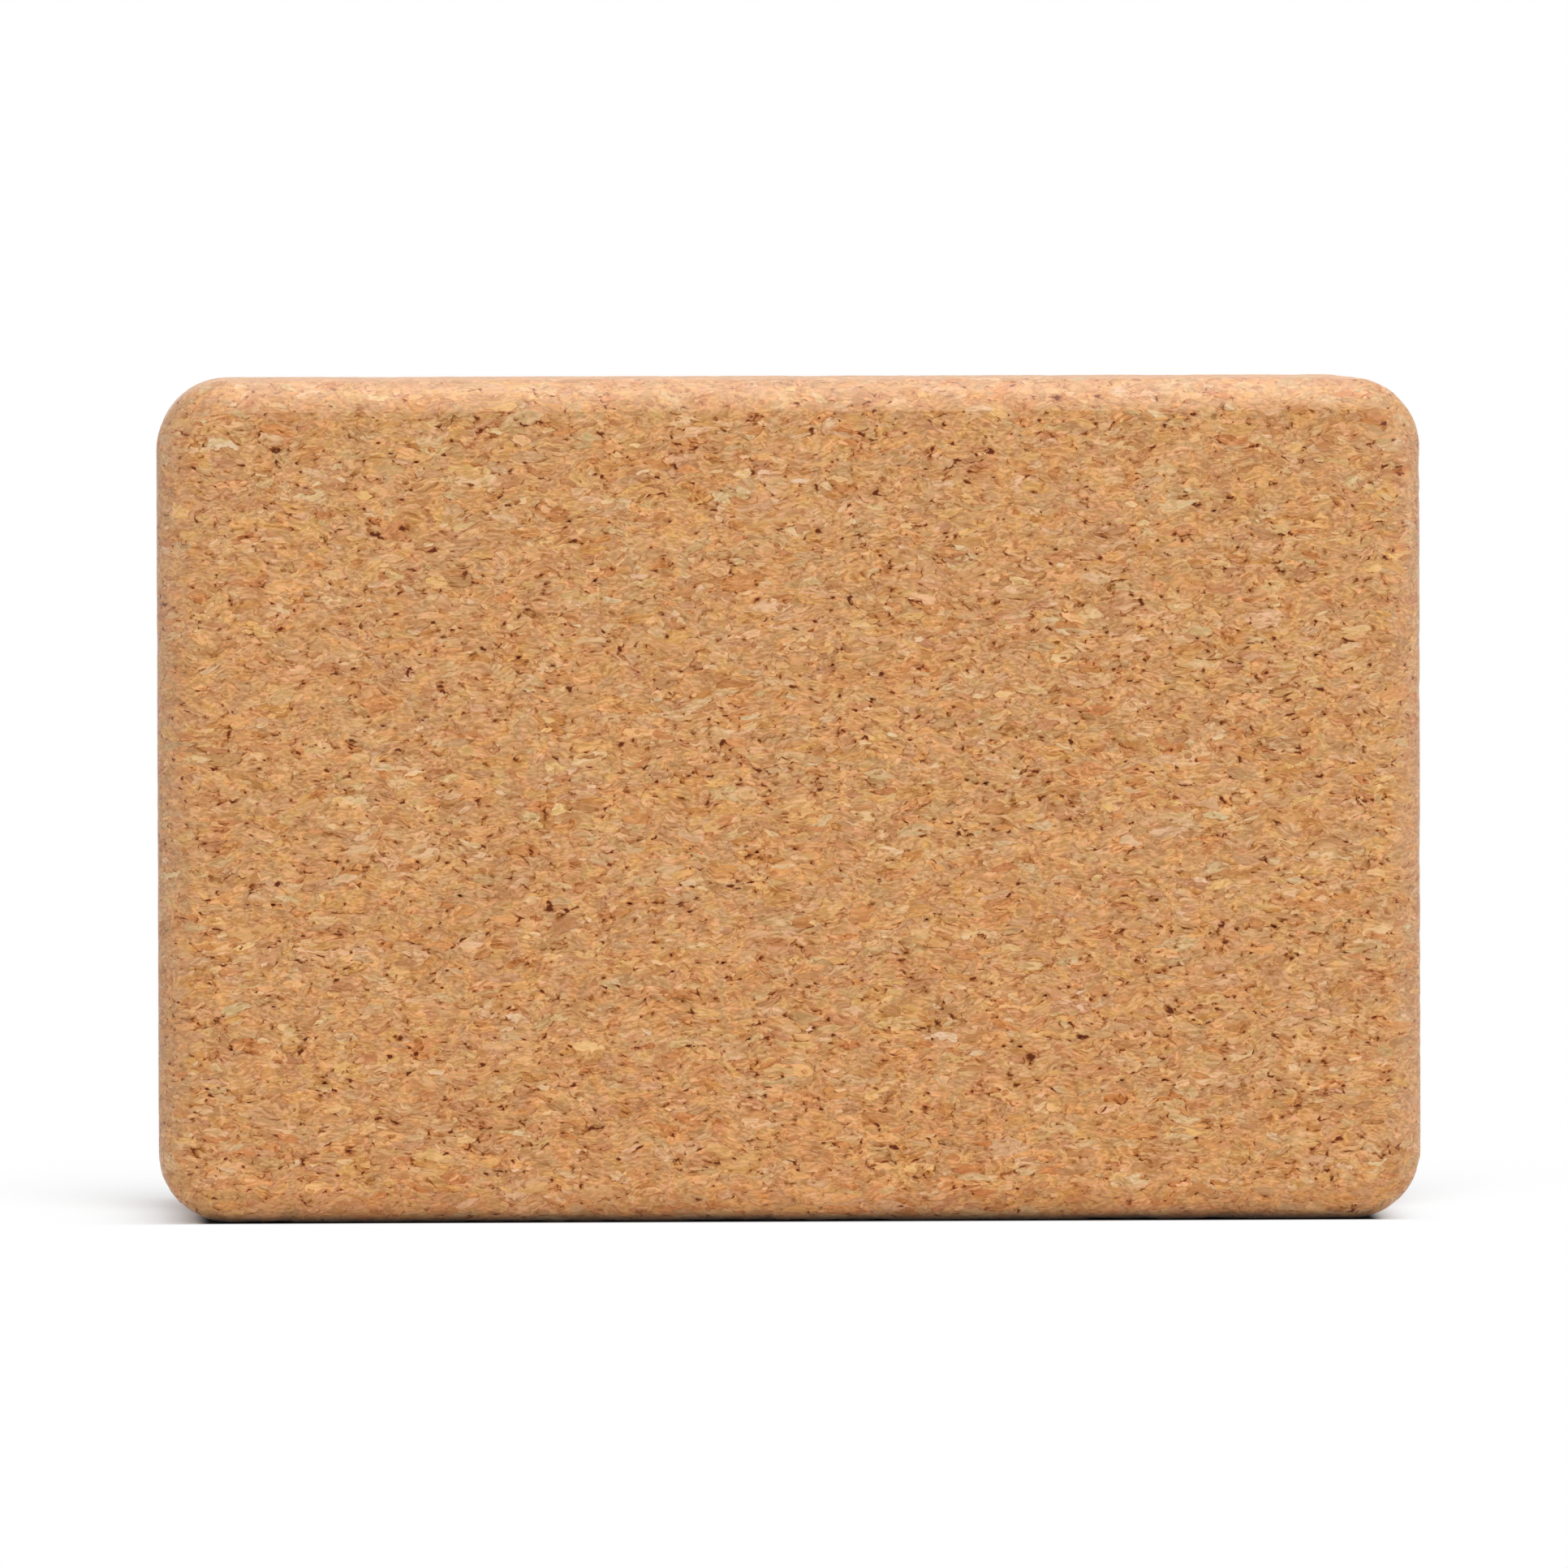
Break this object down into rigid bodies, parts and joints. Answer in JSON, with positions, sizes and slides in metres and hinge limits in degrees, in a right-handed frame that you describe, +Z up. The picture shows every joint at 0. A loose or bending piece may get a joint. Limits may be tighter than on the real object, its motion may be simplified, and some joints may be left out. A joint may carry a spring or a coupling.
{
  "type": "yoga block",
  "caption": "Solid cork yoga block, a long brick with rounded corners and softly rounded edges, used to raise a hand, foot or seat.",
  "frame": {"origin": "on the ground, under the middle of the block, which stands on one of its long sides", "axes": "+X along the block's length, +Y from the front large face to the back one, +Z up along its height"},
  "size_m": [0.2286, 0.1016, 0.1524],
  "materials": {
    "cork": "matt pressed cork granules, sanded"
  },
  "bodies": {
    "root": {"cork_block": "cork"}
  },
  "joints": []
}
